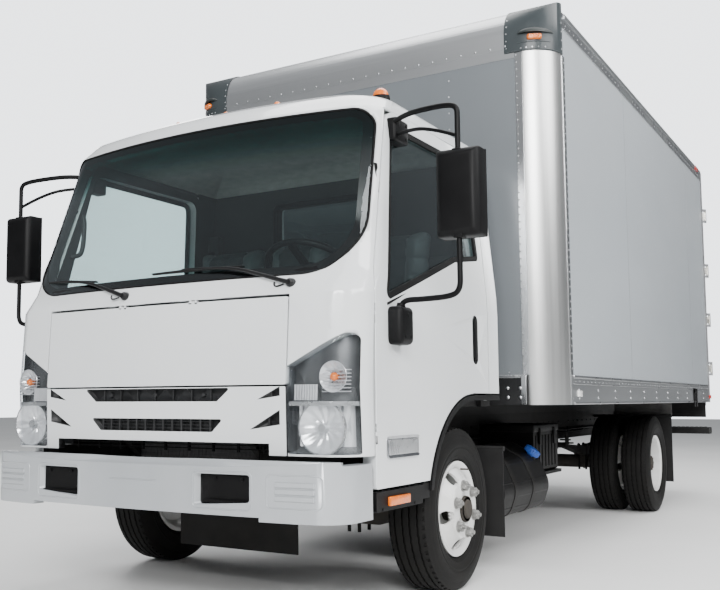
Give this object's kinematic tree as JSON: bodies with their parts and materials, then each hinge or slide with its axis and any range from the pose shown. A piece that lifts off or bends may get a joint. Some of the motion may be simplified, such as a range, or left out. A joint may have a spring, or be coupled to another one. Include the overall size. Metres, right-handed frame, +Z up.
{
  "type": "box truck",
  "caption": "Cab-over box truck with a tilting cab, steered front wheels, paired rear wheels and a panelled cargo box with rear swing doors.",
  "frame": {"origin": "on the ground, under the middle of the overall length and width", "axes": "+Z up, the front faces -Y, +X is the vehicle's left (driver's) side"},
  "size_m": [2.72, 6.855, 3.0939],
  "materials": {
    "cab_paint": "gloss",
    "cab_inside": "matt, grained",
    "seat_cloth": "woven cloth",
    "bumper_grey": "satin",
    "chassis_black": "satin",
    "cast_parts": "rough",
    "radiator_core": "matt",
    "steel": "matt",
    "tank_plastic": "gloss",
    "tank_steel": "satin",
    "black_plastic": "grained",
    "glass": "clear",
    "lamp_lens": "clear",
    "wheel_paint": "gloss",
    "tyre": "matt",
    "box_panel": "gloss",
    "box_wall": "satin",
    "box_alloy": "satin",
    "corner_grey": "semi-gloss",
    "box_deck": "oiled"
  },
  "bodies": {
    "chassis": {"battery_box": "chassis_black", "box_corner_caps": "corner_grey", "box_floor": "box_deck", "box_front_posts": "box_alloy", "box_front_wall": "box_wall", "box_rails": "box_alloy", "box_roof": "box_alloy", "box_roof_front": "box_alloy", "box_side_left": "box_panel", "box_side_right": "box_panel", "cab_pivot": "chassis_black", "chassis_frame": "chassis_black", "driveshaft": "chassis_black", "engine": "cast_parts", "exhaust": "steel", "fluid_tank": "tank_plastic", "front_axle": "cast_parts", "front_bumper": "bumper_grey", "front_under_guard": "chassis_black", "fuel_tank": "tank_steel", "leaf_springs": "chassis_black", "mud_flaps": "black_plastic", "radiator": "radiator_core", "rear_axle": "cast_parts", "rear_door_frame": "box_alloy", "rear_lamp_plates": "chassis_black", "spring_brackets": "chassis_black", "step_bumper": "steel"},
    "cab": {"cab_front_frame": "cab_paint", "cab_rear_wall": "cab_paint", "cab_roof": "cab_paint", "cab_floor": "cab_inside", "dashboard": "cab_inside", "steering_wheel": "cab_inside", "seats": "seat_cloth", "grille_panel": "cab_paint", "headlamps": "lamp_lens", "windscreen": "glass", "rear_window": "glass", "wipers": "black_plastic", "steps": "black_plastic"},
    "cab_door_left": {"cab_door_left": "cab_paint", "door_glass_left": "glass", "mirror_left": "black_plastic"},
    "cab_door_right": {"cab_door_right": "cab_paint", "door_glass_right": "glass", "mirror_right": "black_plastic"},
    "front_lid": {"front_lid": "cab_paint"},
    "knuckle_left": {"knuckle_left": "cast_parts"},
    "knuckle_right": {"knuckle_right": "cast_parts"},
    "front_wheel_left": {"wheel_front_left": "wheel_paint", "tyre_front_left": "tyre"},
    "front_wheel_right": {"wheel_front_right": "wheel_paint", "tyre_front_right": "tyre"},
    "rear_wheels_left": {"wheels_rear_left": "wheel_paint", "tyres_rear_left": "tyre"},
    "rear_wheels_right": {"wheels_rear_right": "wheel_paint", "tyres_rear_right": "tyre"},
    "cargo_door_left": {"cargo_door_left": "box_panel"},
    "cargo_door_right": {"cargo_door_right": "box_panel"}
  },
  "joints": [
    {"name": "cab_tilt", "type": "hinge", "parent": "chassis", "child": "cab", "pos_m": [0, -3.2075, 0.8], "axis": [1, 0, 0], "range_deg": [0, 45]},
    {"name": "cab_door_left_swing", "type": "hinge", "parent": "cab", "child": "cab_door_left", "pos_m": [0.953, -3.0705, 1], "axis": [0, 0, -1], "range_deg": [0, 65]},
    {"name": "cab_door_right_swing", "type": "hinge", "parent": "cab", "child": "cab_door_right", "pos_m": [-0.953, -3.0705, 1], "axis": [0, 0, 1], "range_deg": [0, 65]},
    {"name": "front_lid_lift", "type": "hinge", "parent": "cab", "child": "front_lid", "pos_m": [0, -3.281, 1.31], "axis": [-1, 0, 0], "range_deg": [0, 60]},
    {"name": "steer_left", "type": "hinge", "parent": "chassis", "child": "knuckle_left", "pos_m": [0.715, -2.1775, 0.382], "axis": [0, 0, 1], "range_deg": [-35, 35]},
    {"name": "steer_right", "type": "hinge", "parent": "chassis", "child": "knuckle_right", "pos_m": [-0.715, -2.1775, 0.382], "axis": [0, 0, 1], "range_deg": [-35, 35]},
    {"name": "front_wheel_left_spin", "type": "hinge", "parent": "knuckle_left", "child": "front_wheel_left", "pos_m": [0.832, -2.1775, 0.382], "axis": [1, 0, 0], "continuous": true},
    {"name": "front_wheel_right_spin", "type": "hinge", "parent": "knuckle_right", "child": "front_wheel_right", "pos_m": [-0.832, -2.1775, 0.382], "axis": [1, 0, 0], "continuous": true},
    {"name": "rear_wheels_left_spin", "type": "hinge", "parent": "chassis", "child": "rear_wheels_left", "pos_m": [0.825, 1.6325, 0.382], "axis": [1, 0, 0], "continuous": true},
    {"name": "rear_wheels_right_spin", "type": "hinge", "parent": "chassis", "child": "rear_wheels_right", "pos_m": [-0.825, 1.6325, 0.382], "axis": [1, 0, 0], "continuous": true},
    {"name": "cargo_door_left_swing", "type": "hinge", "parent": "chassis", "child": "cargo_door_left", "pos_m": [1.233, 3.2645, 1.95], "axis": [0, 0, -1], "range_deg": [0, 270]},
    {"name": "cargo_door_right_swing", "type": "hinge", "parent": "chassis", "child": "cargo_door_right", "pos_m": [-1.233, 3.2645, 1.95], "axis": [0, 0, 1], "range_deg": [0, 270]}
  ],
  "couplings": [
    {"joint": "steer_right", "follows": "steer_left", "ratio": 1}
  ]
}
